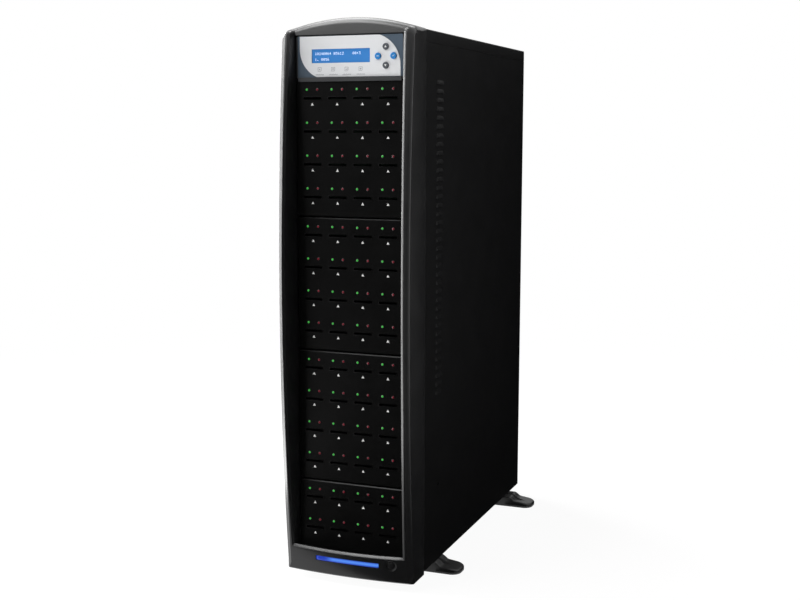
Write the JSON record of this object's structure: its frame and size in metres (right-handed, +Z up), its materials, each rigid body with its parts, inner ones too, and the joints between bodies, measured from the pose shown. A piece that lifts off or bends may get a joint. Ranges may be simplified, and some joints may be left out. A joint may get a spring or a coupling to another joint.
{
  "type": "memory card duplicator",
  "caption": "Free-standing tower that copies memory cards: rows of card slots with lamps and a display behind a bowed bezel, in a steel case on swing-out feet.",
  "frame": {"origin": "on the floor, under the middle of the bounding box", "axes": "+Z up, the slots and the display face -Y, +X to the right seen from the front's own side"},
  "size_m": [0.275, 0.5251, 0.7534],
  "materials": {
    "bezel": "satin moulded",
    "case": "powder coated",
    "panel": "fine texture",
    "plate": "satin",
    "label": "printed film",
    "display": "backlit",
    "key_grey": "smooth",
    "key_blue": "smooth",
    "green_lamp": "clear",
    "red_lamp": "clear",
    "light": "clear",
    "button": "smooth",
    "board": "solder mask",
    "component": "moulded",
    "plated": "plated",
    "sink": "extruded",
    "contact": "plated",
    "fan": "moulded",
    "foot": "satin moulded"
  },
  "bodies": {
    "case": {"front_bezel": "bezel", "light_bar": "light", "light_bar_board": "board", "power_switch": "component", "green_lamps": "green_lamp", "red_lamps": "red_lamp", "control_panel_frame": "panel", "panel_plate": "plate", "panel_label": "label", "lcd_glass": "display", "lcd_board": "board", "key_switches": "component", "key_board": "board", "front_frame": "plated", "base_pan": "case", "rear_panel": "case", "rear_screws": "plated", "left_side_panel": "case", "right_side_panel": "case", "top_cover": "case", "controller_shelf": "plated", "standoffs": "contact", "controller_board": "board", "controller_chip": "component", "heat_sink": "sink", "psu_housing": "plated", "psu_end_plate": "plated", "mains_inlet": "component", "inlet_pins": "contact", "rocker_frame": "component", "psu_fan_frame": "fan", "exhaust_fan_frame": "fan", "foot_pivots": "plated", "slot_panel_1": "panel", "slot_board_1": "board", "card_sockets_1": "plated", "slot_panel_2": "panel", "slot_board_2": "board", "card_sockets_2": "plated", "slot_panel_3": "panel", "slot_board_3": "board", "card_sockets_3": "plated", "slot_panel_4": "panel", "slot_board_4": "board", "card_sockets_4": "plated"},
    "key_up": {"key_1": "key_grey"},
    "key_left": {"key_2": "key_blue"},
    "key_right": {"key_3": "key_blue"},
    "key_down": {"key_4": "key_grey"},
    "power_button": {"power_button": "button"},
    "psu_fan_rotor": {"psu_fan_rotor": "fan"},
    "exhaust_fan_rotor": {"exhaust_fan_rotor": "fan"},
    "rocker": {"rocker": "component"},
    "front_left_foot": {"front_left_foot": "foot"},
    "front_right_foot": {"front_right_foot": "foot"},
    "rear_left_foot": {"rear_left_foot": "foot"},
    "rear_right_foot": {"rear_right_foot": "foot"}
  },
  "joints": [
    {"name": "key_up_press", "type": "slide", "parent": "case", "child": "key_up", "axis": [0, 1, 0], "range_m": [0, 0.0008], "stiffness_N_per_m": 1500},
    {"name": "key_left_press", "type": "slide", "parent": "case", "child": "key_left", "axis": [0, 1, 0], "range_m": [0, 0.0008], "stiffness_N_per_m": 1500},
    {"name": "key_right_press", "type": "slide", "parent": "case", "child": "key_right", "axis": [0, 1, 0], "range_m": [0, 0.0008], "stiffness_N_per_m": 1500},
    {"name": "key_down_press", "type": "slide", "parent": "case", "child": "key_down", "axis": [0, 1, 0], "range_m": [0, 0.0008], "stiffness_N_per_m": 1500},
    {"name": "power_press", "type": "slide", "parent": "case", "child": "power_button", "axis": [0, 1, 0], "range_m": [0, 0.002], "stiffness_N_per_m": 800},
    {"name": "psu_fan_spin", "type": "hinge", "parent": "case", "child": "psu_fan_rotor", "pos_m": [-0.026, 0.24793, 0.6835], "axis": [0, 1, 0], "continuous": true},
    {"name": "exhaust_fan_spin", "type": "hinge", "parent": "case", "child": "exhaust_fan_rotor", "pos_m": [0, 0.24793, 0.54], "axis": [0, 1, 0], "continuous": true},
    {"name": "rocker_throw", "type": "hinge", "parent": "case", "child": "rocker", "pos_m": [0.045, 0.25543, 0.6665], "axis": [1, 0, 0], "range_deg": [0, 16]},
    {"name": "front_left_fold", "type": "hinge", "parent": "case", "child": "front_left_foot", "pos_m": [-0.0595, -0.13807, 0.008], "axis": [0, 0, -1], "range_deg": [0, 90]},
    {"name": "front_right_fold", "type": "hinge", "parent": "case", "child": "front_right_foot", "pos_m": [0.0595, -0.13807, 0.008], "axis": [0, 0, 1], "range_deg": [0, 90]},
    {"name": "rear_left_fold", "type": "hinge", "parent": "case", "child": "rear_left_foot", "pos_m": [-0.0695, 0.19693, 0.008], "axis": [0, 0, 1], "range_deg": [0, 90]},
    {"name": "rear_right_fold", "type": "hinge", "parent": "case", "child": "rear_right_foot", "pos_m": [0.0695, 0.19693, 0.008], "axis": [0, 0, -1], "range_deg": [0, 90]}
  ]
}
